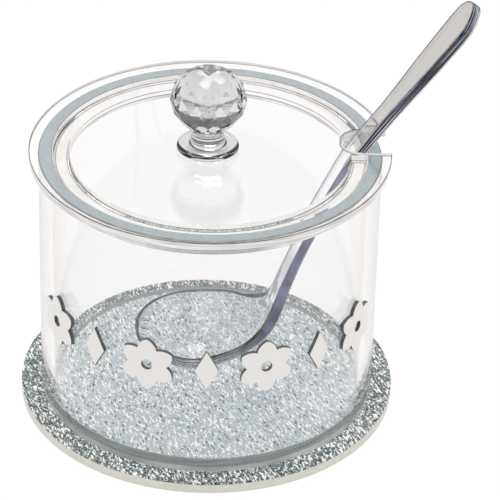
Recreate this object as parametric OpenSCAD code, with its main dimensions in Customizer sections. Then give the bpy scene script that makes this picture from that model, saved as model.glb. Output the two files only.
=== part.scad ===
// Round honey pot of clear acrylic, with a lift-off lid, a faceted ball knob and a spoon.
// Z is up, the origin is the centre of the base's underside, and the spoon leans to +X.
// All sizes are in millimetres and all angles in degrees.

/* [Base] */
// Diameter of the base board and of the glitter sheet on it
base_d = 112; // [106:1:130]
// Thickness of the base board
board_t = 3; // [2:0.5:6]
// Thickness of the glitter sheet
glitter_t = 0.4; // [0.2:0.1:1]

/* [Pot] */
// Outer diameter of the tube
pot_d = 100; // [96:1:105]
// Wall thickness of the tube
pot_wall_t = 4; // [3:0.25:5]
// Height of the tube
pot_h = 77.3; // [70:0.1:90]
// Thickness of the clear floor inside the tube
floor_t = 3; // [2:0.5:5]
// Glue line between the floor and the tube
glue_gap = 0.1; // [0.05:0.05:0.3]

/* [Ornament] */
// Thickness of the mirror ornaments on the wall
ornament_t = 1.2; // [0.8:0.1:2.5]
// Height of the ornaments' middle above the table
ornament_z = 39.5; // [30:0.5:50]
// Angle from one ornament to the next, round the wall
ornament_angle = 19.5; // [18:0.5:24]
// Diameter of a flower
flower_d = 17; // [12:0.5:18]
// Width of a petal
petal_w = 6; // [4:0.25:7]
// Diameter of the round middle of a flower
flower_mid_d = 7; // [5:0.5:9]
// Diameter of the hole in a flower
flower_eye_d = 3.4; // [2:0.1:4.5]
// Height of a lozenge
lozenge_h = 13; // [8:0.5:18]
// Width of a lozenge
lozenge_w = 7; // [4:0.5:9]

/* [Lid] */
// Diameter of the lid's disc
lid_d = 105.4; // [103:0.2:112]
// Thickness of the lid's disc
lid_t = 2.5; // [2:0.1:4]
// Width of the locating ring under the disc
ring_w = 4.6; // [3:0.1:7]
// Depth of the locating ring
ring_h = 5; // [3:0.5:8]
// Clearance between the locating ring and the tube
ring_clear = 0.4; // [0.2:0.05:0.8]

/* [Spoon slot] */
// Width of the slot in the lid
slot_w = 13.5; // [12.5:0.25:16]
// Distance from the lid's edge to the centre of the slot's round end
slot_reach = 8.1; // [7.6:0.1:11]
// Distance of the slot and the spoon from the middle, towards the back
slot_y = 5.2; // [0:0.2:8]

/* [Knob] */
// Distance of the knob from the middle of the lid, away from the slot
knob_x = 0.8; // [0:0.1:2]
// Diameter of the knob's foot
foot_d = 18.2; // [14:0.2:24]
// Thickness of the foot's flange
foot_t = 1.8; // [1.2:0.1:3]
// Diameter of the knob's neck under the ball
neck_d = 9.2; // [7:0.2:11]
// Diameter of the neck where it meets the flange
neck_foot_d = 11.2; // [11:0.2:13]
// Height of the neck, from the lid to the ball's flat underside
neck_h = 7.3; // [4:0.1:12]
// Diameter of the faceted ball
ball_d = 22.2; // [18:0.2:28]
// Height of the ball, from its flat underside to its flat top
ball_h = 18; // [14:0.2:22]
// Diameter of the ball's flat underside
ball_under_d = 11.8; // [11.6:0.2:14]
// Facets in one row round the ball
ball_facets = 12; // [8:1:16]

/* [Spoon] */
// Width of the bowl
bowl_w = 39; // [30:1:44]
// Length of the bowl from its tip to its widest place
bowl_front = 19; // [15:0.5:24]
// Length from the bowl's widest place to the neck
bowl_back = 21.8; // [17:0.5:26]
// Depth of the bowl's hollow
bowl_hollow = 10.6; // [5:0.2:12]
// Thickness of the bowl
bowl_t = 2; // [1.5:0.1:3]
// Distance of the bowl's widest place from the middle of the pot, towards -X
bowl_x = 3; // [0:0.5:6]
// Width of the handle where it passes through the slot
handle_w = 11.7; // [8:0.1:11.8]
// Greatest width of the handle, near its end
handle_end_w = 17; // [11:0.1:18]
// Thickness of the handle
handle_t = 2.8; // [2:0.1:3.5]
// Length of the handle above the rim of the pot
handle_out = 57.5; // [40:0.5:70]
// Lean of the handle above the rim, from the horizontal
handle_lean = 55.5; // [50:0.5:62]
// How far the handle's end stands towards the back, off the line of the bowl
handle_drift = 1; // [0:0.1:2]
// Bevel along the spoon's edges
spoon_bevel = 0.7; // [0.4:0.1:1]
// Gap between the spoon and what it rests on
spoon_gap = 0.3; // [0.2:0.05:0.6]
// Thickness of the spoon at its neck
neck_t = 3.4; // [2.4:0.1:4]
// Height of the neck above the bowl's rim
neck_rise = 9.5; // [7:0.5:14]

/* [Hidden] */
$fn = 96;
pot_r = pot_d / 2;
pot_in_r = pot_r - pot_wall_t;
deck_z = board_t + glitter_t;
floor_z = deck_z + floor_t;
rim_z = deck_z + pot_h;
lid_r = lid_d / 2;
lid_z = rim_z + lid_t;
ring_r = pot_in_r - ring_clear;
slot_x = lid_r - slot_reach;
ball_r = ball_d / 2;
ornament_r = pot_r + ornament_t;
// A margin that carries a cut past the faces it goes through
past = 1;

flower_count = 4;
lozenge_count = 3;
ornament_count = flower_count + lozenge_count;

module base_board() {
    color("#e3e4d8") cylinder(d = base_d, h = board_t);
}

module glitter_sheet() {
    color("#9aa5a8") translate([0, 0, board_t]) cylinder(d = base_d, h = glitter_t);
}

module pot_wall() {
    color("#f3f1ef", 0.3)
        translate([0, 0, deck_z])
            difference() {
                cylinder(r = pot_r, h = pot_h);
                translate([0, 0, -past]) cylinder(r = pot_in_r, h = pot_h + 2 * past);
            }
}

module pot_floor() {
    color("#eef0f0", 0.3)
        translate([0, 0, deck_z]) cylinder(r = pot_in_r - glue_gap, h = floor_t);
}

// A pointed petal from the origin along +X: the overlap of two round discs
module petal(length, width) {
    arc_r = (pow(length, 2) + pow(width, 2)) / (4 * width);
    intersection() {
        translate([length / 2, arc_r - width / 2]) circle(r = arc_r);
        translate([length / 2, width / 2 - arc_r]) circle(r = arc_r);
    }
}

module flower_outline() {
    difference() {
        union() {
            for (turn = [30:60:330]) rotate(turn) petal(flower_d / 2, petal_w);
            circle(d = flower_mid_d);
        }
        circle(d = flower_eye_d);
    }
}

module lozenge_outline() {
    polygon([[lozenge_w / 2, 0], [0, lozenge_h / 2], [-lozenge_w / 2, 0], [0, -lozenge_h / 2]]);
}

// Bends a flat outline round the wall: place counts from the left, as seen from the front
module on_wall(place) {
    angle = (place - (ornament_count - 1) / 2) * ornament_angle;
    color("#dedbd8")
        translate([0, 0, ornament_z])
            intersection() {
                difference() {
                    cylinder(r = ornament_r, h = flower_d + lozenge_h, center = true);
                    cylinder(r = pot_r, h = flower_d + lozenge_h + 2 * past, center = true);
                }
                rotate([90, 0, angle]) linear_extrude(ornament_r + past) children();
            }
}

module flower(number) {
    on_wall(2 * (number - 1)) flower_outline();
}

module lozenge(number) {
    on_wall(2 * number - 1) lozenge_outline();
}

module lid_disc() {
    color("#f3f1ef", 0.3)
        translate([0, 0, rim_z])
            difference() {
                cylinder(r = lid_r, h = lid_t);
                translate([slot_x, slot_y, -past]) cylinder(d = slot_w, h = lid_t + 2 * past);
                translate([slot_x, slot_y - slot_w / 2, -past])
                    cube([slot_reach + past, slot_w, lid_t + 2 * past]);
            }
}

module locating_ring() {
    color("#f3f1ef", 0.3)
        translate([0, 0, rim_z - ring_h])
            difference() {
                cylinder(r = ring_r, h = ring_h);
                translate([0, 0, -past]) cylinder(r = ring_r - ring_w, h = ring_h + 2 * past);
                translate([0, slot_y - slot_w / 2, -past])
                    cube([ring_r + past, slot_w, ring_h + 2 * past]);
            }
}

// The foot is a flange with a rounded shoulder, and a neck with a hollow curve stands on it
module knob_foot() {
    foot_r = foot_d / 2;
    neck_r = neck_d / 2;
    edge_r = foot_t / 4;
    sweep_r = (neck_foot_d - neck_d) / 2;
    sweep_h = neck_h - foot_t;
    color("#eef0f0", 0.4)
        translate([-knob_x, 0, lid_z])
            rotate_extrude()
                polygon(concat(
                    [[0, 0], [foot_r - edge_r, 0]],
                    [for (a = [0:15:90])
                        [foot_r - 3 * edge_r * (1 - cos(a)), edge_r + 3 * edge_r * sin(a)]],
                    [for (a = [0:15:90])
                        [neck_r + sweep_r * (1 - sin(a)), foot_t + sweep_h * (1 - cos(a))]],
                    [[0, neck_h]]
                ));
}

// Rows of the ball's corners: the angle above its equator, from the flat underside to the top
ball_top = 70;
ball_under = acos(ball_under_d / ball_d);
ball_rows = [-ball_under, -39, -20, 0, 24, 48, ball_top];
// Under its equator the ball draws in a little more than a round ball would
ball_shrink = [1, 0.94, 0.98, 1, 1, 1, 1];
// The ball is a little flatter than a sphere: half its height before both ends are cut flat
ball_half_h = ball_h / (sin(ball_top) + sin(ball_under));
ball_z = lid_z + neck_h + ball_half_h * sin(ball_under);

function ball_corner(row, i) =
    let (
        up = ball_rows[row],
        turn = (i + (row % 2 + 1) / 2) * 360 / ball_facets,
        radius = ball_r * cos(up) * ball_shrink[row]
    )
    [radius * cos(turn), radius * sin(turn), ball_half_h * sin(up)];

module knob_ball() {
    last = len(ball_rows) - 1;
    n = ball_facets;
    corners = [for (row = [0:last]) for (i = [0:n - 1]) ball_corner(row, i)];
    // In every second row the corners stand half a step on, so the facets lean both ways
    sides = [for (row = [0:last - 1]) for (i = [0:n - 1])
        let (
            a = row * n + i,
            b = row * n + (i + 1) % n,
            c = (row + 1) * n + i,
            d = (row + 1) * n + (i + 1) % n
        )
        each (row % 2 == 0 ? [[a, c, b], [b, c, d]] : [[a, d, b], [a, c, d]])];
    color("#e8ebee", 0.5)
        translate([-knob_x, 0, ball_z])
            polyhedron(
                points = corners,
                faces = concat(
                    [[for (i = [0:n - 1]) i]],
                    sides,
                    [[for (i = [n - 1:-1:0]) last * n + i]]
                )
            );
}

// The spoon's middle line runs along its top face, from the bowl's tip to the handle's end
bowl_rim_z = floor_z + spoon_gap + bowl_t + bowl_hollow;
neck_x = bowl_back - bowl_x;
neck_z = bowl_rim_z + neck_rise;
// Where the handle leans on the inner edge of the rim, its underside just clear of it
lean_side_y = slot_y + handle_w / 2 - spoon_bevel;
rim_lean = 60;
lean_x = sqrt(pow(pot_in_r, 2) - pow(lean_side_y, 2)) - spoon_gap - handle_t / sin(rim_lean);
// How far the stretch inside the pot bows towards the bowl
handle_bow = 1.2;
end_round = 7.5;

// Each row of the spoon: x, z, half width, depth of the hollow, thickness, drift to the back
function bowl_row(a) =
    [-bowl_x - bowl_front * cos(a), bowl_rim_z, bowl_w / 2 * sin(a), bowl_hollow * sin(a), bowl_t,
     0];

function inside_row(part, half_w, thick = handle_t) =
    [neck_x + (lean_x - neck_x) * part - handle_bow * sin(180 * part),
     neck_z + (rim_z - neck_z) * part, half_w, 0, thick, 0];

function outside_row(length, half_w) =
    [lean_x + length * cos(handle_lean), rim_z + length * sin(handle_lean), half_w, 0, handle_t,
     handle_drift * length / handle_out];

spoon_rows = concat(
    [for (a = [4, 14, 30, 48, 68]) bowl_row(a)],
    [
        bowl_row(90),
        [-bowl_x + 0.40 * bowl_back, bowl_rim_z + 0.14 * neck_rise, 0.45 * bowl_w,
         0.88 * bowl_hollow, bowl_t, 0],
        [-bowl_x + 0.68 * bowl_back, bowl_rim_z + 0.27 * neck_rise, 0.35 * bowl_w,
         0.58 * bowl_hollow, 1.2 * bowl_t, 0],
        [-bowl_x + 0.88 * bowl_back, bowl_rim_z + 0.57 * neck_rise, 0.25 * bowl_w,
         0.25 * bowl_hollow, neck_t, 0]
    ],
    [
        inside_row(0, 0.58 * handle_w, neck_t),
        inside_row(0.16, 0.49 * handle_w, (neck_t + handle_t) / 2),
        inside_row(0.4, 0.47 * handle_w),
        inside_row(0.7, 0.48 * handle_w),
        inside_row(0.98, handle_w / 2)
    ],
    [
        outside_row(0.28 * handle_out, handle_w / 2),
        outside_row(0.62 * handle_out, 0.46 * handle_end_w)
    ],
    [for (a = [0, 35, 60, 78])
        outside_row(handle_out - end_round * (1 - sin(a)), handle_end_w / 2 * cos(a))]
);

// A smooth curve through the rows
function smooth(a, b, c, d, t) =
    ((2 * b) + (c - a) * t + (2 * a - 5 * b + 4 * c - d) * t * t + (3 * b - a - 3 * c + d) * t * t * t) / 2;

function row_at(i) = spoon_rows[min(max(i, 0), len(spoon_rows) - 1)];

steps = 3;
spoon_line = concat(
    [for (i = [0:len(spoon_rows) - 2]) for (s = [0:steps - 1])
        smooth(row_at(i - 1), row_at(i), row_at(i + 1), row_at(i + 2), s / steps)],
    [row_at(len(spoon_rows) - 1)]
);

// Points across one face of the spoon, from one edge to the other
across = [for (i = [-5:5]) i / 5];

// One section: the top face, one edge, the underside and the other edge
function section(row, along) =
    let (
        half = row[2],
        bevel = min(spoon_bevel, half / 3),
        flat = half - bevel,
        normal = [-along[1], along[0]],
        outline = concat(
            [for (v = across) [flat * v, -row[3] * (1 - v * v)]],
            [[half, -bevel], [half, -row[4] + bevel]],
            [for (i = [len(across) - 1:-1:0]) [flat * across[i], -row[4] - row[3] * (1 - pow(across[i], 2))]],
            [[-half, -row[4] + bevel], [-half, -bevel]]
        )
    )
    [for (p = outline)
        [row[0] + normal[0] * p[1], p[0] + slot_y + row[5], row[1] + normal[1] * p[1]]];

function direction(i) =
    let (
        from = spoon_line[max(i - 1, 0)],
        to = spoon_line[min(i + 1, len(spoon_line) - 1)],
        step = [to[0] - from[0], to[1] - from[1]]
    )
    step / norm(step);

module spoon() {
    sections = [for (i = [0:len(spoon_line) - 1]) section(spoon_line[i], direction(i))];
    n = len(sections[0]);
    last = len(sections) - 1;
    sides = [for (s = [0:last - 1]) for (i = [0:n - 1])
        let (a = s * n + i, b = s * n + (i + 1) % n)
        each [[a, b, a + n], [b, b + n, a + n]]];
    // Each end is closed by a strip between its top face and its underside
    m = len(across);
    cap = concat(
        [for (i = [0:m - 2])
            each [[i, i + 1, 2 * m + 1 - i], [i + 1, 2 * m - i, 2 * m + 1 - i]]],
        [[m - 1, m, m + 1], [m - 1, m + 1, m + 2]],
        [[0, 2 * m + 1, 2 * m + 2], [0, 2 * m + 2, 2 * m + 3]]
    );
    start_cap = [for (f = cap) [f[2], f[1], f[0]]];
    end_cap = [for (f = cap) [for (i = f) last * n + i]];
    color("#d9dce6", 0.5)
        polyhedron(
            points = [for (s = sections) each s],
            faces = concat(start_cap, sides, end_cap)
        );
}

base_board();
glitter_sheet();
pot_wall();
pot_floor();
for (i = [1:flower_count]) flower(i);
for (i = [1:lozenge_count]) lozenge(i);
lid_disc();
locating_ring();
knob_foot();
knob_ball();
spoon();
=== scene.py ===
"""The looks of a clear acrylic honey pot with a lift-off lid, a faceted knob and a spoon."""
import math

import bmesh
import bpy
from mathutils import Matrix, Vector


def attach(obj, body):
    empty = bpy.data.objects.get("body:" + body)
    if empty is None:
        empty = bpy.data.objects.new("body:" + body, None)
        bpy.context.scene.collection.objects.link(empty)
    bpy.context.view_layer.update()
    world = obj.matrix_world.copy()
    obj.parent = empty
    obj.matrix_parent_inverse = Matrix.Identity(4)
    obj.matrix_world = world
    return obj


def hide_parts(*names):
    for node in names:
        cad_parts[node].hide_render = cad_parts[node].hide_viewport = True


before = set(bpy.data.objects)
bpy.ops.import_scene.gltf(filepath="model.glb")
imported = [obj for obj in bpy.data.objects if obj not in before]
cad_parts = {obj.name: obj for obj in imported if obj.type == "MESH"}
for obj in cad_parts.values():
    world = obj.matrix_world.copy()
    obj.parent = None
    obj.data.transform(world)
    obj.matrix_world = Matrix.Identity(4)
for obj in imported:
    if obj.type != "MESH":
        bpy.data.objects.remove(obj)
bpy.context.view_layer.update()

# All sizes are in millimetres, as in the part's source, and go into the meshes in metres.
MM = 0.001
# Clear pieces that touch are drawn this far apart, so that no two faces share one plane
AIR = 0.03
# Widths of the narrow flats that take the sharpness off a cut edge: on the lid, on the tube's rim
# outside and inside, and on the inner floor
ARRIS = 0.25
RIM_ARRIS_OUT = 0.4
RIM_ARRIS_IN = 0.2
FLOOR_ARRIS = 0.15

# A hair under the 56 mm of the CAD disc, whose outline has many flat sides
BASE_R = 55.98
BOARD_T = 3
GLITTER_T = 0.4
DECK_Z = BOARD_T + GLITTER_T
POT_R = 50
POT_IN_R = 46
POT_H = 77.3
RIM_Z = DECK_Z + POT_H
FLOOR_T = 3
FLOOR_Z = DECK_Z + FLOOR_T
GLUE_GAP = 0.1
# How far the edges of the board and of the film on it are rounded
BOARD_ROUND = 0.35
FILM_ROUND = 0.1

ORNAMENT_T = 1.2
ORNAMENT_Z = 39.5
ORNAMENT_ANGLE = 19.5
FLOWER_D = 17
PETAL_W = 6
FLOWER_MID_D = 7
FLOWER_EYE_D = 3.4
LOZENGE_H = 13
LOZENGE_W = 7
ORNAMENT_ROUND = 0.08

LID_R = 52.7
LID_T = 2.5
LID_Z = RIM_Z + LID_T
RING_W = 4.6
RING_H = 5
# The ring drops into the tube with this much room
RING_ROOM = 0.4
RING_R = POT_IN_R - RING_ROOM
# The ring's lower edge, as (inset, rise from its lower face): a steep flank between two arrises,
# which carry a pair of painted dark lines round the ring's foot
RING_EDGE = [(0.8, 0), (0.6, 0.2), (0.2, 1.1), (0, 1.3)]

SLOT_W = 13.5
# The middle of the slot's round end
SLOT_DEPTH = 8.1
SLOT_X = LID_R - SLOT_DEPTH
SLOT_Y = 5.2

# The knob is glued this far off the middle of the lid, towards -X
KNOB_X = 0.8
FOOT_R = 9.1
FOOT_T = 1.8
NECK_R = 4.6
NECK_FOOT_R = 5.6
NECK_H = 7.3
BALL_R = 11.1
BALL_H = 18
# Radius of the ball's flat underside, which sits on the neck
BALL_SEAT_R = 5.9
BALL_UNDER = math.degrees(math.acos(BALL_SEAT_R / BALL_R))
BALL_TOP = 70
BALL_FACETS = 12
# Steps round the foot for each facet of the ball
FOOT_STEPS = 8
# Each row of the ball's corners: the angle above its equator and how much it draws in
BALL_ROWS = [(-BALL_UNDER, 1), (-39, 0.94), (-20, 0.98), (0, 1), (24, 1), (48, 1), (BALL_TOP, 1)]

BOWL_W = 39
BOWL_FRONT = 19
BOWL_BACK = 21.8
BOWL_HOLLOW = 10.6
BOWL_T = 2
BOWL_X = 3
HANDLE_W = 11.7
HANDLE_END_W = 17
HANDLE_T = 2.8
HANDLE_OUT = 57.5
HANDLE_LEAN = 55.5
SPOON_BEVEL = 0.7
SPOON_GAP = 0.3
NECK_RISE = 9.5
RIM_LEAN = 60
HANDLE_BOW = 1.2
END_ROUND = 7.5
HANDLE_DRIFT = 1
NECK_T = 3.4
# Width of each of the two lines, a painted shade line and a painted highlight line, that stand for
# the rounded edge along the spoon's faces
EDGE_LINE = 0.4
# Points on each side of the middle of a spoon face, and in all of one face with its edge lines
HALF_STEPS = 10
ACROSS = 2 * HALF_STEPS + 5
# The handle's finish starts here, with its painted lines of shade and highlight, and the neck's
# blue rim of painted shade covers its bevels from the lower height
HANDLE_Z = RIM_Z - 6
BLUE_BEVEL_Z = FLOOR_Z + 20


def cos(degrees):
    return math.cos(math.radians(degrees))


def sin(degrees):
    return math.sin(math.radians(degrees))


def srgb(code):
    """A colour as in a paint program, #rrggbb, turned to the linear values that Blender uses."""
    values = [int(code[i:i + 2], 16) / 255 for i in (1, 3, 5)]
    return [v / 12.92 if v <= 0.04045 else ((v + 0.055) / 1.055) ** 2.4 for v in values] + [1]


def add_node(tree, kind, settings=None, inputs=None, links=None, stops=None):
    """One node: its settings, input values, what feeds its inputs, and a ramp's stops."""
    node = tree.nodes.new("ShaderNode" + kind)
    for name, value in (settings or {}).items():
        setattr(node, name, value)
    for name, value in (inputs or {}).items():
        node.inputs[name].default_value = value
    for name, source in (links or {}).items():
        socket = source.outputs[0] if isinstance(source, bpy.types.Node) else source
        tree.links.new(socket, node.inputs[name])
    if stops:
        elements = node.color_ramp.elements
        for place, colour in stops[1:-1]:
            elements.new(place)
        for element, (place, colour) in zip(elements, stops):
            element.position = place
            element.color = srgb(colour)
    return node


def new_material(name):
    """An empty material and the socket that gives places on the pot, in metres."""
    material = bpy.data.materials.new(name)
    material.use_nodes = True
    tree = material.node_tree
    tree.nodes.clear()
    return material, tree, add_node(tree, "TexCoord").outputs["Object"]


def finish_with(tree, shader):
    """Closes a material that light doesn't pass through."""
    add_node(tree, "OutputMaterial", links={"Surface": shader})


def let_light_in(tree, shader, tint="#ffffff"):
    """Closes a clear material: lamps shine through it, where plain glass would throw a shadow."""
    path = add_node(tree, "LightPath")
    either = add_node(tree, "Math", {"operation": "MAXIMUM"}, links={
        0: path.outputs["Is Shadow Ray"], 1: path.outputs["Is Diffuse Ray"]})
    straight = add_node(tree, "BsdfTransparent", inputs={"Color": srgb(tint)})
    mix = add_node(tree, "MixShader", links={0: either, 1: shader, 2: straight})
    finish_with(tree, mix)


def clear_plastic(name, colour, ior, roughness, grazing_shade_colour, grazing_shade_start, tint="#ffffff"):
    """Clear plastic: polished faces, and another tone where the eye grazes them: partly for the
    long way light comes through the wall there, and partly painted shade for the dark room seen
    through the grazing wall."""
    material, tree, _ = new_material(name)
    common = {"IOR": ior, "Roughness": roughness, "Transmission Weight": 1}
    face = add_node(tree, "BsdfPrincipled", inputs={"Base Color": srgb(colour), **common})
    # The edge shader is a painted darker tone: painted shade where the eye grazes the wall
    edge = add_node(tree, "BsdfPrincipled", inputs={"Base Color": srgb(grazing_shade_colour), **common})
    facing = add_node(tree, "LayerWeight", inputs={"Blend": 0.5})
    share = add_node(tree, "MapRange", inputs={"From Min": grazing_shade_start, "From Max": 1},
                     links={"Value": facing.outputs["Facing"]})
    mix = add_node(tree, "MixShader", links={0: share, 1: face, 2: edge})
    let_light_in(tree, mix, tint)
    return material


def cut_plastic(name, dark, light, grain_size, roughness, clear):
    """Clear plastic with a cut face, half clear only, with fine scratches. Its grain runs between a
    dark and a light tone, which several finishes use as painted shade and painted highlight.
    The size of the grain along X, Y and Z is in millimetres."""
    material, tree, place = new_material(name)
    sized = add_node(tree, "Mapping", {"vector_type": "TEXTURE"},
                     {"Scale": [size * MM for size in grain_size]}, {"Vector": place})
    grain = add_node(tree, "TexNoise", inputs={"Scale": 1, "Detail": 3}, links={"Vector": sized})
    colour = add_node(tree, "ValToRGB", links={"Fac": grain}, stops=[(0.35, dark), (0.65, light)])
    scratches = add_node(tree, "Bump", inputs={"Distance": 0.03 * MM}, links={"Height": grain})
    body = add_node(tree, "BsdfPrincipled",
                    inputs={"IOR": 1.49, "Roughness": roughness, "Transmission Weight": clear},
                    links={"Base Color": colour, "Normal": scratches})
    let_light_in(tree, body)
    return material


# Cast acrylic, polished: clear, with a faint warm painted shade where a wall turns away
clear_acrylic = clear_plastic("cast_acrylic", "#fefdfd", 1.49, 0.0, "#e2d8d0", 0.7)
# Extruded acrylic tube: a little warmer, with a painted shade down its sides where the wall is seen
# edge on
tube_acrylic = clear_plastic("extruded_acrylic_tube", "#fcfbfb", 1.49, 0.0, "#d8cac0", 0.6)
# Moulded acrylic, cut in facets: clear and crisp, and greyer than the tube: a painted grey shade,
# darker where a facet is grazed, for the dark room seen through the ball
knob_acrylic = clear_plastic("moulded_faceted_acrylic", "#e3e2e1", 1.49, 0.0, "#a1a3a8", 0.75,
                             "#a9aaac")
# Injection-moulded polystyrene: clear, cool and very glossy, with a painted blue-grey shade where
# the eye grazes it
spoon_plastic = clear_plastic("moulded_polystyrene", "#fbfbfc", 1.59, 0.01, "#9a9fb0", 0.8)
# The thicker handle of the same moulding, given a painted grey shade where it stands free, darker
# where the eye grazes it
spoon_handle_painted_shade = clear_plastic("moulded_polystyrene_handle_painted_shade", "#e8e3e0", 1.59, 0.04, "#8f8985", 0.75)
# Laser-cut acrylic: streaks run along the lid's edge and its slot, as the beam leaves them, and are
# toned pale to white as a painted highlight
cut_acrylic = cut_plastic("laser_cut_acrylic", "#d8d3cf", "#ffffff", (12, 12, 0.6), 0.15, 0.12)
# The arris along each cut: a narrow grey-brown line of painted shade
acrylic_arris_painted_shade = cut_plastic("acrylic_arris_painted_shade", "#66615d", "#938e8a", (3, 3, 1), 0.3, 0.1)
# The cemented ring's lower face: satin and faintly beige
ring_face = cut_plastic("satin_acrylic_ring_face", "#e8e3de", "#f6f3ef", (8, 8, 8), 0.3, 0.5)
# Sawn acrylic on the tube's rim: matt, with the fine scratches of the blade, and blue-grey as a
# painted reflection of the glitter below
sawn_acrylic_painted_reflection = cut_plastic("sawn_acrylic_painted_reflection", "#93a2a9", "#acbabf", (0.6, 0.6, 0.6), 0.45, 0.2)
# Acrylic cement under the tube and round the inner floor: a smooth grey-green band, drawn along
cement_seam = cut_plastic("acrylic_cement_seam", "#848c89", "#b0b5b2", (14, 14, 0.5), 0.3, 0.0)
# The rounded edge of the spoon's bowl and neck, painted dark blue: painted shade where light that
# runs inside it comes out blue
spoon_rim_painted_shade = cut_plastic("moulded_polystyrene_rim_painted_shade", "#3f4666", "#747b9a", (4, 4, 4), 0.1, 0.3)
# The thin dark line of painted shade, and the pale line of painted highlight beside it, that the
# rounded edge draws on the handle
handle_painted_shade_line = cut_plastic("moulded_polystyrene_painted_shade_line", "#3d3937", "#6a6461", (2, 2, 8), 0.15, 0.1)
handle_painted_highlight_line = cut_plastic("moulded_polystyrene_painted_highlight_line", "#d5d2d1", "#f8f7f7", (2, 2, 8), 0.1, 0.4)


def make_spoon_side_painted_shade():
    """The sides of the clear moulding: painted dark and pale streaks, painted shade and highlight
    for the light that runs inside it.
    """
    material, tree, _ = new_material("moulded_polystyrene_side_painted_shade")
    flow = add_node(tree, "Attribute", {"attribute_name": "flow"})
    # Painted streaks of shade and highlight, 30 mm long and 0.45 mm wide, which follow the bend of
    # the moulding
    along = add_node(tree, "Mapping", {"vector_type": "TEXTURE"}, {"Scale": (30, 0.45, 1)},
                     {"Vector": flow.outputs["Vector"]})
    streaks = add_node(tree, "TexNoise", inputs={"Scale": 1, "Detail": 1.5},
                       links={"Vector": along})
    colour = add_node(tree, "ValToRGB", links={"Fac": streaks}, stops=[
        (0.4, "#080a16"), (0.48, "#1f2436"), (0.54, "#3d4256"), (0.6, "#8e93a3"),
        (0.66, "#d9dbe2")])
    body = add_node(tree, "BsdfPrincipled",
                    inputs={"IOR": 1.59, "Roughness": 0.08, "Transmission Weight": 0.15},
                    links={"Base Color": colour})
    let_light_in(tree, body, "#c4c7d0")
    return material


def make_cream_board():
    """Lacquered fibre board: a cream satin edge with a faint grain from the saw."""
    material, tree, place = new_material("cream_lacquered_board")
    grain = add_node(tree, "TexNoise", inputs={"Scale": 1 / (1.2 * MM), "Detail": 4},
                     links={"Vector": place})
    colour = add_node(tree, "ValToRGB", links={"Fac": grain},
                      stops=[(0.3, "#d2d1c5"), (0.7, "#deddd2")])
    rough = add_node(tree, "Bump", inputs={"Distance": 0.04 * MM}, links={"Height": grain})
    body = add_node(tree, "BsdfPrincipled", inputs={"Roughness": 0.5},
                    links={"Base Color": colour, "Normal": rough})
    finish_with(tree, body)
    return material


def make_glitter():
    """Glitter film: cut flakes of silver foil, each tilted its own way, so some flash white, with
    painted glints and painted shade on top.
    """
    material, tree, place = new_material("silver_glitter_film")
    # Real flakes are 0.2 mm; they are drawn at 0.33 mm, the least that a pixel of the photo shows
    flake_size = 0.33 * MM
    flake = add_node(tree, "TexVoronoi", inputs={"Scale": 1 / flake_size},
                     links={"Vector": place})
    shade = add_node(tree, "SeparateColor", links={"Color": flake.outputs["Color"]})
    # Each flake gets a random tone from near black to white: painted shade and painted glints for
    # how it catches the light
    colour = add_node(tree, "ValToRGB", links={"Fac": shade}, stops=[
        (0.0, "#0d1111"), (0.3, "#556060"), (0.65, "#84908f"), (0.85, "#b6c0bf"),
        (0.95, "#ffffff")])
    # Slivers of foil, 1.2 by 0.36 mm, lie over the rest: some get painted shade and some a painted
    # white glint
    sliver_size = (1.2 * MM, 0.36 * MM, 1.2 * MM)
    turned_place = add_node(tree, "Mapping", {"vector_type": "TEXTURE"},
                            {"Rotation": (0, 0, math.radians(-70)), "Scale": sliver_size},
                            {"Vector": place})
    sliver = add_node(tree, "TexVoronoi", inputs={"Scale": 1}, links={"Vector": turned_place})
    sliver_shade = add_node(tree, "SeparateColor", links={"Color": sliver.outputs["Color"]})
    painted_shade_slivers = add_node(tree, "Math", {"operation": "GREATER_THAN"}, {1: 0.93},
                      {0: sliver_shade.outputs[2]})
    painted_glint_slivers = add_node(tree, "Math", {"operation": "GREATER_THAN"}, {1: 0.8},
                        {0: sliver_shade.outputs[1]})
    # Under the pot, where the floor is cemented on, the flakes are painted paler and bluer: a
    # painted sheen for the reflections seen through the clear floor
    radius = add_node(tree, "VectorMath", {"operation": "LENGTH"}, links={0: place})
    painted_sheen_inside = add_node(tree, "MapRange", inputs={
        "From Min": (POT_IN_R + 1) * MM, "From Max": (POT_IN_R - 1) * MM, "To Max": 0.52},
                   links={"Value": radius.outputs["Value"]})
    for share, tone in ((painted_sheen_inside, "#dae6ed"), (painted_shade_slivers, "#4b595f"), (painted_glint_slivers, "#ffffff")):
        colour = add_node(tree, "MixRGB", inputs={"Color2": srgb(tone)},
                          links={"Fac": share, "Color1": colour})
    centred = add_node(tree, "VectorMath", {"operation": "SUBTRACT"}, {1: (0.5, 0.5, 0.5)},
                       {0: flake.outputs["Color"]})
    # Each flake leans its own way, by 37 degrees at most
    tilt = add_node(tree, "VectorMath", {"operation": "SCALE"}, {"Scale": 0.7}, {0: centred})
    normal = add_node(tree, "NewGeometry").outputs["Normal"]
    leaning = add_node(tree, "VectorMath", {"operation": "ADD"}, links={0: tilt, 1: normal})
    straight = add_node(tree, "VectorMath", {"operation": "NORMALIZE"}, links={0: leaning})
    body = add_node(tree, "BsdfPrincipled", inputs={"Metallic": 0.3, "Roughness": 0.4},
                    links={"Base Color": colour, "Normal": straight})
    finish_with(tree, body)
    return material


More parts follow.
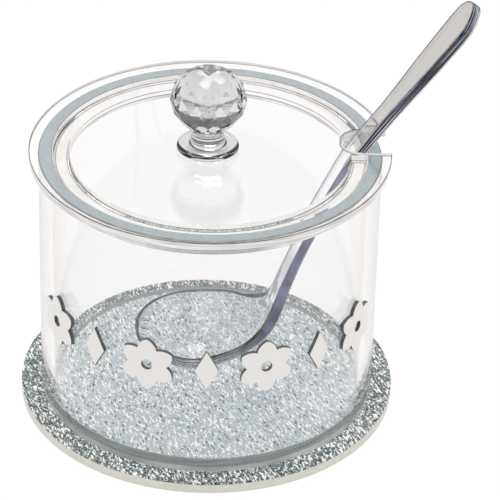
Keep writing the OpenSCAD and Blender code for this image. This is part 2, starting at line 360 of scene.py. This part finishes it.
def make_mirror_acrylic():
    """Silver mirror acrylic: a bright face that is faintly wavy."""
    material, tree, place = new_material("silver_mirror_acrylic")
    waves = add_node(tree, "TexNoise", inputs={"Scale": 1 / (9 * MM), "Detail": 1},
                     links={"Vector": place})
    wavy = add_node(tree, "Bump", inputs={"Distance": 0.05 * MM}, links={"Height": waves})
    body = add_node(tree, "BsdfPrincipled",
                    inputs={"Base Color": srgb("#e4e1de"), "Metallic": 1, "Roughness": 0.12},
                    links={"Normal": wavy})
    finish_with(tree, body)
    return material


def make_mirror_edge():
    """The laser-cut side of mirror acrylic: dark, as the silver is on the back only."""
    material, tree, place = new_material("mirror_acrylic_cut_side")
    grain = add_node(tree, "TexNoise", inputs={"Scale": 1 / (0.8 * MM)}, links={"Vector": place})
    colour = add_node(tree, "ValToRGB", links={"Fac": grain},
                      stops=[(0.3, "#45484a"), (0.7, "#636769")])
    body = add_node(tree, "BsdfPrincipled", inputs={"IOR": 1.49, "Roughness": 0.2},
                    links={"Base Color": colour})
    finish_with(tree, body)
    return material


spoon_side_painted_shade = make_spoon_side_painted_shade()
cream_board = make_cream_board()
silver_glitter = make_glitter()
mirror_acrylic = make_mirror_acrylic()
mirror_edge = make_mirror_edge()


def mesh_from(name, points, faces, finishes=None):
    """A mesh from points in millimetres, with the number of each face's finish."""
    mesh = bpy.data.meshes.new(name)
    mesh.from_pydata([[v * MM for v in p] for p in points], [], faces)
    for face, finish in zip(mesh.polygons, finishes or []):
        face.material_index = finish
    work = bmesh.new()
    work.from_mesh(mesh)
    bmesh.ops.recalc_face_normals(work, faces=work.faces)
    work.to_mesh(mesh)
    work.free()
    return mesh


def add_piece(name, mesh, body, nodes, materials, smooth=35):
    """Puts a finished mesh in the scene, on its body and in place of its nodes."""
    for material in materials:
        mesh.materials.append(material)
    if smooth:
        mesh.shade_smooth()
        mesh.set_sharp_from_angle(angle=math.radians(smooth))
    piece = bpy.data.objects.new(name, mesh)
    bpy.context.scene.collection.objects.link(piece)
    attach(piece, body)
    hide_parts(*nodes)
    return piece


def ease_edges(piece, width, material, segments=2):
    """Takes the sharpness off the edges and gives the narrow strip its own material."""
    bevel = piece.modifiers.new("eased_edges", "BEVEL")
    bevel.width = width * MM
    bevel.segments = segments
    bevel.limit_method = "ANGLE"
    bevel.angle_limit = math.radians(40)
    bevel.material = material


def turned(name, outline, steps=180):
    """Turns a closed outline of (radius, height, finish of the face that follows) round Z."""
    points = []
    rings = []
    for radius, height, finish in outline:
        turns = [0] if radius == 0 else range(steps)
        rings.append([len(points) + i for i in range(len(turns))])
        points += [(radius * cos(360 * t / steps), radius * sin(360 * t / steps), height)
                   for t in turns]
    faces = []
    finishes = []
    for i, (radius, height, finish) in enumerate(outline):
        a = rings[i]
        b = rings[(i + 1) % len(rings)]
        if len(a) == len(b) == 1:
            continue
        for t in range(steps):
            u = (t + 1) % steps
            corners = [a[t % len(a)], a[u % len(a)], b[u % len(b)], b[t % len(b)]]
            faces.append(list(dict.fromkeys(corners)))
            finishes.append(finish)
    return mesh_from(name, points, faces, finishes)


def stacked(name, layers):
    """A solid through layers of (outline, height), whose outlines have as many points."""
    n = len(layers[0][0])
    last = len(layers) - 1
    points = [(x, y, height) for outline, height in layers for x, y in outline]
    faces = [list(range(n)), list(range(last * n, last * n + n))]
    for k in range(last):
        a = k * n
        faces += [[a + i, a + (i + 1) % n, a + n + (i + 1) % n, a + n + i] for i in range(n)]
    return mesh_from(name, points, faces)


def make_base():
    board = turned("base_board", [(0, 0, 0), (BASE_R, 0, 0), (BASE_R, BOARD_T, 0), (0, BOARD_T, 0)])
    piece = add_piece("base_board_finished", board, "pot", ["base_board"],
                      [cream_board])
    ease_edges(piece, BOARD_ROUND, 0, 3)
    film = turned("glitter_sheet", [
        (0, BOARD_T, 0), (BASE_R, BOARD_T, 0), (BASE_R, DECK_Z, 0), (0, DECK_Z, 0)])
    piece = add_piece("glitter_film", film, "pot", ["glitter_sheet"],
                      [silver_glitter])
    ease_edges(piece, FILM_ROUND, 0)


def make_pot():
    foot = DECK_Z + AIR
    rim = RIM_Z - AIR
    # Finishes: 0 polished, 1 sawn, with a painted reflection, 2 cement, 3 arris, with a painted
    # dark line
    wall = turned("pot_wall", [
        (POT_R, foot, 0), (POT_R, rim - RIM_ARRIS_OUT, 3), (POT_R - RIM_ARRIS_OUT, rim, 1),
        (POT_IN_R + RIM_ARRIS_IN, rim, 3), (POT_IN_R, rim - RIM_ARRIS_IN, 0),
        (POT_IN_R, FLOOR_Z, 2), (POT_IN_R, foot, 2)])
    add_piece("tube", wall, "pot", ["pot_wall"],
              [tube_acrylic, sawn_acrylic_painted_reflection, cement_seam, acrylic_arris_painted_shade])
    # The floor is cemented to the film, so no air lies between them: it goes a hair into the film
    disc_r = POT_IN_R - GLUE_GAP
    bed = DECK_Z - AIR
    # Finishes: 0 polished, 1 cement
    disc = turned("pot_floor", [
        (0, bed, 0), (disc_r, bed, 1), (disc_r, FLOOR_Z - FLOOR_ARRIS, 0),
        (disc_r - FLOOR_ARRIS, FLOOR_Z, 0), (0, FLOOR_Z, 0)])
    add_piece("inner_floor", disc, "pot", ["pot_floor"],
              [clear_acrylic, cement_seam])


def arc(radius, start, end, steps, x=0, y=0):
    """Points on an arc round (x, y), from one angle to another."""
    return [(x + radius * cos(start + (end - start) * i / steps),
             y + radius * sin(start + (end - start) * i / steps)) for i in range(steps + 1)]


def gap_angles(radius, inset):
    """Where the sides of the spoon slot meet a circle round the middle of the lid."""
    low = math.degrees(math.asin((SLOT_Y - SLOT_W / 2 - inset) / radius))
    high = math.degrees(math.asin((SLOT_Y + SLOT_W / 2 + inset) / radius))
    return low, high


def plate_outline(inset=0):
    """The lid's disc with its slot, drawn in by an inset."""
    low, high = gap_angles(LID_R - inset, inset)
    return (arc(LID_R - inset, high, 360 + low, 200)
            + arc(SLOT_W / 2 + inset, 270, 90, 32, SLOT_X, SLOT_Y))


def ring_outline(inset=0):
    """The locating ring with its gap for the spoon, drawn in by an inset."""
    low, high = gap_angles(RING_R - inset, inset)
    outer = arc(RING_R - inset, high, 360 + low, 180)
    low, high = gap_angles(RING_R - RING_W + inset, inset)
    return outer + arc(RING_R - RING_W + inset, 360 + low, high, 180)


def lid_finish(face):
    """0 for a polished face, 1 for a cut wall, partly painted highlight, 2 for an arris, a painted
    dark line, 3 for the ring's lower face.
    """
    # 1 where the face lies flat and 0 where it stands upright
    level = abs(face.normal.z)
    radius = math.hypot(face.center.x, face.center.y) / MM
    on_ring = face.center.z < RIM_Z * MM
    if level > 0.9:
        return 3 if on_ring else 0
    if level > 0.6:
        return 2
    round_wall = radius > RING_R - 1 or radius < RING_R - RING_W + 1
    return 0 if on_ring and round_wall else 1


def make_lid():
    low = RIM_Z + AIR
    plate = bpy.data.objects.new("plate", stacked("lid", [
        (plate_outline(ARRIS), low), (plate_outline(), low + ARRIS),
        (plate_outline(), LID_Z - ARRIS), (plate_outline(ARRIS), LID_Z)]))
    ring = bpy.data.objects.new("ring", stacked("ring", [
        (ring_outline(inset), RIM_Z - RING_H + rise)
        for inset, rise in RING_EDGE + [(0, RING_H + LID_T / 2)]]))
    # The ring is cemented on and leaves no seam to see, so disc and ring are one clear body
    for item in (plate, ring):
        bpy.context.scene.collection.objects.link(item)
    join = plate.modifiers.new("cemented", "BOOLEAN")
    join.operation = "UNION"
    join.solver = "EXACT"
    join.object = ring
    whole = bpy.data.meshes.new_from_object(
        plate.evaluated_get(bpy.context.evaluated_depsgraph_get()))
    for item in (plate, ring):
        bpy.data.objects.remove(item)
    for face in whole.polygons:
        face.material_index = lid_finish(face)
    add_piece("lid_plate_with_ring", whole, "lid", ["lid_disc", "locating_ring"],
              [clear_acrylic, cut_acrylic, acrylic_arris_painted_shade, ring_face])


def ball_corner(row, i):
    """Corner i in one row of the ball. Every second row is turned by half a facet."""
    up, shrink = BALL_ROWS[row]
    turn = (i + (row % 2 + 1) / 2) * 360 / BALL_FACETS
    half_h = BALL_H / (sin(BALL_TOP) + sin(BALL_UNDER))
    radius = BALL_R * cos(up) * shrink
    middle = LID_Z + NECK_H + half_h * sin(BALL_UNDER)
    return (radius * cos(turn) - KNOB_X, radius * sin(turn), middle + half_h * sin(up))


def foot_outline():
    """Radius and height, from the flange's underside up to the ball."""
    low = LID_Z + AIR
    edge_r = FOOT_T / 4
    sweep_r = NECK_FOOT_R - NECK_R
    outline = [(FOOT_R - edge_r, low)]
    outline += [(FOOT_R - 3 * edge_r * (1 - cos(a)), low + edge_r + 3 * edge_r * sin(a))
                for a in range(0, 91, 10)]
    outline += [(NECK_R + sweep_r * (1 - sin(a)), low + FOOT_T + (NECK_H - FOOT_T) * (1 - cos(a)))
                for a in range(0, 91, 10)]
    return outline[:-1] + [(NECK_R, LID_Z + NECK_H)]


def make_knob():
    """Foot, neck and faceted ball in one closed body, as light passes from one to the other."""
    n = BALL_FACETS
    steps = FOOT_STEPS * n
    outline = foot_outline()
    points = [(radius * cos(360 * t / steps) - KNOB_X, radius * sin(360 * t / steps), height)
              for radius, height in outline for t in range(steps)]
    faces = [list(range(steps))]
    for ring in range(len(outline) - 1):
        a = ring * steps
        faces += [[a + t, a + (t + 1) % steps, a + steps + (t + 1) % steps, a + steps + t]
                  for t in range(steps)]
    round_faces = len(faces)
    top = (len(outline) - 1) * steps
    ball = len(points)
    rows = len(BALL_ROWS)
    points += [ball_corner(row, i) for row in range(rows) for i in range(n)]
    # The flat underside lies between the neck's round top and the ball's twelve corners
    for i in range(n):
        start = FOOT_STEPS * i + FOOT_STEPS // 2
        arc_back = [top + (start + FOOT_STEPS - t) % steps for t in range(FOOT_STEPS + 1)]
        faces.append([ball + i, ball + (i + 1) % n] + arc_back)
    for row in range(rows - 1):
        for i in range(n):
            a = ball + row * n + i
            b = ball + row * n + (i + 1) % n
            c = a + n
            d = b + n
            faces += [[a, c, b], [b, c, d]] if row % 2 == 0 else [[a, d, b], [a, c, d]]
    faces.append([ball + (rows - 1) * n + i for i in range(n)])
    knob = mesh_from("knob", points, faces)
    add_piece("faceted_knob", knob, "lid", ["knob_foot", "knob_ball"],
              [knob_acrylic])
    for face in knob.polygons:
        face.use_smooth = face.index < round_faces


def spoon_rows():
    """Along the spoon: x, z, half width, depth of the hollow, thickness and drift to the back."""
    rim_z = FLOOR_Z + SPOON_GAP + BOWL_T + BOWL_HOLLOW
    neck_x = BOWL_BACK - BOWL_X
    neck_z = rim_z + NECK_RISE
    lean_side = SLOT_Y + HANDLE_W / 2 - SPOON_BEVEL
    lean_x = math.sqrt(POT_IN_R ** 2 - lean_side ** 2) - SPOON_GAP - HANDLE_T / sin(RIM_LEAN)
    rows = [(-BOWL_X - BOWL_FRONT * cos(a), rim_z, BOWL_W / 2 * sin(a), BOWL_HOLLOW * sin(a),
             BOWL_T, 0) for a in (4, 14, 30, 48, 68, 90)]
    for part, rise, width, hollow, thick in (
            (0.40, 0.14, 0.45, 0.88, BOWL_T), (0.68, 0.27, 0.35, 0.58, 1.2 * BOWL_T),
            (0.88, 0.57, 0.25, 0.25, NECK_T)):
        rows.append((-BOWL_X + part * BOWL_BACK, rim_z + rise * NECK_RISE, width * BOWL_W,
                     hollow * BOWL_HOLLOW, thick, 0))
    for part, width, thick in (
            (0, 0.58, NECK_T), (0.16, 0.49, (NECK_T + HANDLE_T) / 2), (0.4, 0.47, HANDLE_T),
            (0.7, 0.48, HANDLE_T), (0.98, 0.5, HANDLE_T)):
        bow = HANDLE_BOW * sin(180 * part)
        rows.append((neck_x + (lean_x - neck_x) * part - bow, neck_z + (RIM_Z - neck_z) * part,
                     width * HANDLE_W, 0, thick, 0))
    outside = [(0.28 * HANDLE_OUT, 0.5 * HANDLE_W), (0.62 * HANDLE_OUT, 0.46 * HANDLE_END_W)]
    outside += [(HANDLE_OUT - END_ROUND * (1 - sin(a)), HANDLE_END_W / 2 * cos(a))
                for a in (0, 35, 60, 78)]
    for length, half in outside:
        rows.append((lean_x + length * cos(HANDLE_LEAN), RIM_Z + length * sin(HANDLE_LEAN),
                     half, 0, HANDLE_T, HANDLE_DRIFT * length / HANDLE_OUT))
    return rows


def between(a, b, c, d, t):
    """A value a share t of the way from b to c, on a smooth curve through all four."""
    return ((2 * b) + (c - a) * t + (2 * a - 5 * b + 4 * c - d) * t * t
            + (3 * b - a - 3 * c + d) * t * t * t) / 2


def spoon_line(steps=8):
    """The rows of the spoon with smooth steps between them."""
    rows = spoon_rows()
    padded = [rows[0]] + rows + [rows[-1]]
    line = []
    for i in range(len(rows) - 1):
        for s in range(steps):
            line.append([between(*values, s / steps) for values in zip(*padded[i:i + 4])])
    return line + [list(rows[-1])]


def spoon_section(row, along):
    """One section: the top face, one side, the underside and the other side."""
    x, z, half, hollow, thick, drift = row
    bevel = min(SPOON_BEVEL, half / 3)
    flat = half - bevel
    # The two outermost strips of each face are narrow: they carry the painted shade and highlight
    # lines along the edge
    outer = max(1 - EDGE_LINE / flat, 0.75)
    inner = max(1 - 2 * EDGE_LINE / flat, 0.5)
    middle = [inner * i / HALF_STEPS for i in range(-HALF_STEPS, HALF_STEPS + 1)]
    across = [-1, -outer] + middle + [outer, 1]
    outline = [(flat * v, -hollow * (1 - v * v)) for v in across]
    outline += [(half, -bevel), (half, -thick + bevel)]
    outline += [(flat * v, -thick - hollow * (1 - v * v)) for v in reversed(across)]
    outline += [(-half, -thick + bevel), (-half, -bevel)]
    points = [(x - along[1] * down, side + SLOT_Y + drift, z + along[0] * down)
              for side, down in outline]
    return points, [down for side, down in outline]


def spoon_finish(i, z):
    """0 clear face, 1 side with painted streaks of shade, 2 handle face in painted grey shade, 3
    blue rim of painted shade, 4 dark line of painted shade, 5 pale line of painted highlight.
    """
    sides = (ACROSS, 2 * ACROSS + 2)
    bevels = (ACROSS - 1, 2 * ACROSS + 3)
    under_bevels = (ACROSS + 1, 2 * ACROSS + 1)
    if z < HANDLE_Z:
        return 3 if i in sides or z > BLUE_BEVEL_Z and i in bevels + under_bevels else 0
    if i in sides + bevels:
        return 1
    if i in (1, ACROSS - 2):
        return 4
    if i in (0,) + under_bevels:
        return 5
    return 2 if z > RIM_Z else 0


def make_spoon():
    """One moulding: sections along a line, which also carry how far along and down they lie."""
    line = spoon_line()
    n = 2 * ACROSS + 4
    points = []
    flow = []
    length = 0
    for i, row in enumerate(line):
        before = line[max(i - 1, 0)]
        after = line[min(i + 1, len(line) - 1)]
        along = Vector((after[0] - before[0], after[1] - before[1])).normalized()
        length += math.hypot(row[0] - before[0], row[1] - before[1])
        section, depths = spoon_section(row, along)
        points += section
        flow += [(length, depth, 0) for depth in depths]
    faces = []
    finishes = []
    for s in range(len(line) - 1):
        for i in range(n):
            j = (i + 1) % n
            faces.append([s * n + i, s * n + j, (s + 1) * n + j, (s + 1) * n + i])
            finishes.append(spoon_finish(i, line[s][1]))
    for start, finish in ((0, 3), ((len(line) - 1) * n, 1)):
        faces.append([start + i for i in range(n)])
        finishes.append(finish)
    spoon = mesh_from("spoon", points, faces, finishes)
    values = spoon.attributes.new("flow", "FLOAT_VECTOR", "POINT")
    values.data.foreach_set("vector", [v for place in flow for v in place])
    add_piece("moulded_spoon", spoon, "spoon", ["spoon"],
              [spoon_plastic, spoon_side_painted_shade, spoon_handle_painted_shade, spoon_rim_painted_shade, handle_painted_shade_line, handle_painted_highlight_line], 30)


def lens_radius(angle, length, width):
    """How far a petal along +X reaches from the origin at an angle from its middle line."""
    bend = (length ** 2 + width ** 2) / (4 * width)
    # The petal is where two discs overlap: the ray leaves the nearer of them first
    reach = []
    for side in (1, -1):
        cx = length / 2
        cy = side * (bend - width / 2)
        along = cx * cos(angle) + cy * sin(angle)
        inside = along ** 2 - (cx ** 2 + cy ** 2 - bend ** 2)
        reach.append(along + math.sqrt(max(inside, 0)))
    return min(reach)


def flower_outline():
    """Six pointed petals and a round middle, as one outline round the origin."""
    points = []
    for i in range(360):
        off = (i % 60) - 30
        far = lens_radius(off, FLOWER_D / 2, PETAL_W)
        radius = max(far, FLOWER_MID_D / 2)
        points.append((radius * cos(i), radius * sin(i)))
    return points


def lozenge_outline():
    return [(LOZENGE_W / 2, 0), (0, LOZENGE_H / 2), (-LOZENGE_W / 2, 0), (0, -LOZENGE_H / 2)]


def wall_plate(name, outline, hole, angle):
    """A flat outline cut from thin sheet, bent round the pot and set at an angle."""
    work = bmesh.new()
    edges = []
    for loop in (outline, hole):
        ring = [work.verts.new((x, 0, z)) for x, z in loop]
        edges += [work.edges.new((ring[i], ring[(i + 1) % len(ring)])) for i in range(len(ring))]
    bmesh.ops.triangle_fill(work, edges=edges, use_beauty=True)
    # Cuts at every millimetre let it bend
    half = FLOWER_D // 2
    for i in range(-half, half + 1):
        geometry = work.verts[:] + work.edges[:] + work.faces[:]
        bmesh.ops.bisect_plane(work, geom=geometry, plane_co=(i, 0, 0), plane_no=(1, 0, 0))
    flat_faces = work.faces[:]
    raised = bmesh.ops.extrude_face_region(work, geom=flat_faces, use_keep_orig=True)
    outside = {v for v in raised["geom"] if isinstance(v, bmesh.types.BMVert)}
    # A hair's breadth off the wall, so that clear and silvered faces don't share one surface
    for v in work.verts:
        radius = POT_R + ORNAMENT_T if v in outside else POT_R + AIR
        v.co.y = -math.sqrt(radius ** 2 - v.co.x ** 2)
        v.co.z += ORNAMENT_Z
    bmesh.ops.recalc_face_normals(work, faces=work.faces)
    for face in work.faces:
        count = sum(v in outside for v in face.verts)
        face.material_index = 0 if count == len(face.verts) else 1
    bmesh.ops.transform(work, verts=work.verts, matrix=Matrix.Scale(MM, 4))
    bmesh.ops.transform(work, verts=work.verts, matrix=Matrix.Rotation(math.radians(angle), 4, "Z"))
    mesh = bpy.data.meshes.new(name)
    work.to_mesh(mesh)
    work.free()
    return mesh


def make_ornaments():
    eye = arc(FLOWER_EYE_D / 2, 0, 345, 23)
    for place in range(7):
        angle = (place - 3) * ORNAMENT_ANGLE
        if place % 2 == 0:
            node = "flower_%d" % (place // 2 + 1)
            mesh = wall_plate(node, flower_outline(), eye, angle)
        else:
            node = "lozenge_%d" % (place // 2 + 1)
            mesh = wall_plate(node, lozenge_outline(), [], angle)
        piece = add_piece("mirror_" + node, mesh, "pot", [node],
                          [mirror_acrylic, mirror_edge])
        ease_edges(piece, ORNAMENT_ROUND, 1, 1)


def make_camera():
    """The photograph's camera: it looks down at the pot from the front, a touch turned."""
    data = bpy.data.cameras.new("camera")
    sensor, focal_pixels, photo_pixels = 36, 3057.2, 500
    data.sensor_width = sensor
    data.lens = sensor * focal_pixels / photo_pixels
    data.clip_start = 0.01
    data.clip_end = 50
    yaw, pitch, roll = 0.914, 32.239, 1.495
    ahead = Vector((sin(yaw) * cos(pitch), cos(yaw) * cos(pitch), -sin(pitch)))
    right = Vector((cos(yaw), -sin(yaw), 0))
    up = right.cross(ahead)
    side = cos(roll) * right + sin(roll) * up
    top = cos(roll) * up - sin(roll) * right
    camera = bpy.data.objects.new("camera", data)
    turn = Matrix((side, top, -ahead)).transposed().to_4x4()
    camera.matrix_world = Matrix.Translation((0, -0.76596, 0.53128)) @ turn
    bpy.context.scene.collection.objects.link(camera)
    bpy.context.scene.camera = camera


ROOM_COLOUR = "#727578"
# The white sweep fades into the room between these distances from the pot, in metres
SWEEP_END = (0.6, 0.7)
# Limits on a direction: its axis, where nothing of it is lit and where all of it is. The screen
# stands behind the pot, where the lid mirrors it.
SCREEN = (("Y", 0.25, 0.45), ("Z", 0.28, 0.36), ("Z", 0.82, 0.72))
# A paler band runs low round the whole room
BAND = (("Z", 0.09, 0.14), ("Z", 0.32, 0.27))
# Each softbox: its place and the length of its sides in metres, and its power in watts
LAMPS = {
    "back_softbox": ((-0.1, 0.85, 1.25), 0.5, 3),
    "key_softbox": ((-0.45, -0.55, 1.15), 0.9, 3),
    "side_softbox": ((0.9, -0.1, 0.8), 0.8, 1.5)}


def make_floor():
    """A plain white sweep that keeps the pot's soft shadow."""
    material, tree, place = new_material("white_sweep")
    path = add_node(tree, "LightPath")
    through = add_node(tree, "Math", {"operation": "MAXIMUM"}, links={
        0: path.outputs["Is Glossy Ray"], 1: path.outputs["Is Transmission Ray"]})
    seen = add_node(tree, "Math", {"operation": "MAXIMUM"}, links={
        0: through, 1: path.outputs["Is Camera Ray"]})
    share = add_node(tree, "Math", {"operation": "MULTIPLY"}, {1: 0.9}, {0: seen})
    # The faceted knob bends the eye far out: there the white sweep ends and the room begins
    radius = add_node(tree, "VectorMath", {"operation": "LENGTH"}, links={0: place})
    out = add_node(tree, "MapRange", inputs={"From Min": SWEEP_END[0], "From Max": SWEEP_END[1]},
                   links={"Value": radius.outputs["Value"]})
    dark = add_node(tree, "Math", {"operation": "MULTIPLY"}, links={0: out, 1: through})
    tone = add_node(tree, "MixRGB", inputs={"Color1": srgb("#ffffff"), "Color2": srgb(ROOM_COLOUR)},
                    links={"Fac": dark})
    paper = add_node(tree, "BsdfDiffuse", inputs={"Color": srgb("#f8f8f8")})
    glow = add_node(tree, "Emission", inputs={"Strength": 1.02}, links={"Color": tone})
    mix = add_node(tree, "MixShader", links={0: share, 1: paper, 2: glow})
    finish_with(tree, mix)
    # It lies a hair under the board, so that the two don't share one plane
    size = 5000
    low = -0.05
    mesh = mesh_from("sweep", [(-size, -size, low), (size, -size, low), (size, size, low),
                               (-size, size, low)], [[0, 1, 2, 3]])
    mesh.materials.append(material)
    floor = bpy.data.objects.new("sweep", mesh)
    bpy.context.scene.collection.objects.link(floor)


def soft_window(tree, direction, limits):
    """1 for directions inside all the limits and 0 outside, with soft edges."""
    window = None
    for axis, none, full in limits:
        share = add_node(tree, "MapRange", {"interpolation_type": "SMOOTHSTEP"},
                         {"From Min": none, "From Max": full}, {"Value": direction.outputs[axis]})
        window = share if window is None else add_node(
            tree, "Math", {"operation": "MULTIPLY"}, links={0: window, 1: share})
    return window


def make_world():
    """A studio: soft light all round, and for clear plastic a white screen in a grey room."""
    world = bpy.data.worlds.new("studio")
    world.use_nodes = True
    tree = world.node_tree
    tree.nodes.clear()
    place = add_node(tree, "TexCoord").outputs["Generated"]
    direction = add_node(tree, "SeparateXYZ", links={"Vector": place})
    path = add_node(tree, "LightPath")
    white = soft_window(tree, direction, SCREEN)
    # The band is only there to be mirrored, by a lid that is seen from low down, and not for
    # light that comes through the knob
    mirrored = add_node(tree, "Math", {"operation": "MULTIPLY"}, links={
        0: path.outputs["Is Reflection Ray"], 1: path.outputs["Is Glossy Ray"]})
    band = add_node(tree, "Math", {"operation": "MULTIPLY"},
                    links={0: mirrored, 1: soft_window(tree, direction, BAND)})
    soft = add_node(tree, "Math", {"operation": "MULTIPLY"}, {1: 0.75},
                    {0: path.outputs["Is Diffuse Ray"]})
    for other in (path.outputs["Is Camera Ray"], soft, band):
        white = add_node(tree, "Math", {"operation": "MAXIMUM"}, links={0: white, 1: other})
    room = add_node(tree, "MixRGB", inputs={"Color1": srgb(ROOM_COLOUR), "Color2": srgb("#ffffff")},
                    links={"Fac": white})
    sky = add_node(tree, "Background", inputs={"Strength": 1}, links={"Color": room})
    add_node(tree, "OutputWorld", links={"Surface": sky})
    bpy.context.scene.world = world


def make_lamps():
    """White softboxes behind the pot, in front of it on the left, and on its right."""
    for name, (place, side, watts) in LAMPS.items():
        data = bpy.data.lights.new(name, "AREA")
        data.shape = "SQUARE"
        data.size = side
        data.energy = watts
        lamp = bpy.data.objects.new(name, data)
        lamp.location = place
        towards = Vector((0, 0, 0.05)) - lamp.location
        lamp.rotation_euler = towards.to_track_quat("-Z", "Y").to_euler()
        bpy.context.scene.collection.objects.link(lamp)


make_camera()
make_floor()
make_world()
make_lamps()
make_base()
make_pot()
make_ornaments()
make_lid()
make_knob()
make_spoon()

scene = bpy.context.scene
scene.view_settings.view_transform = "Standard"
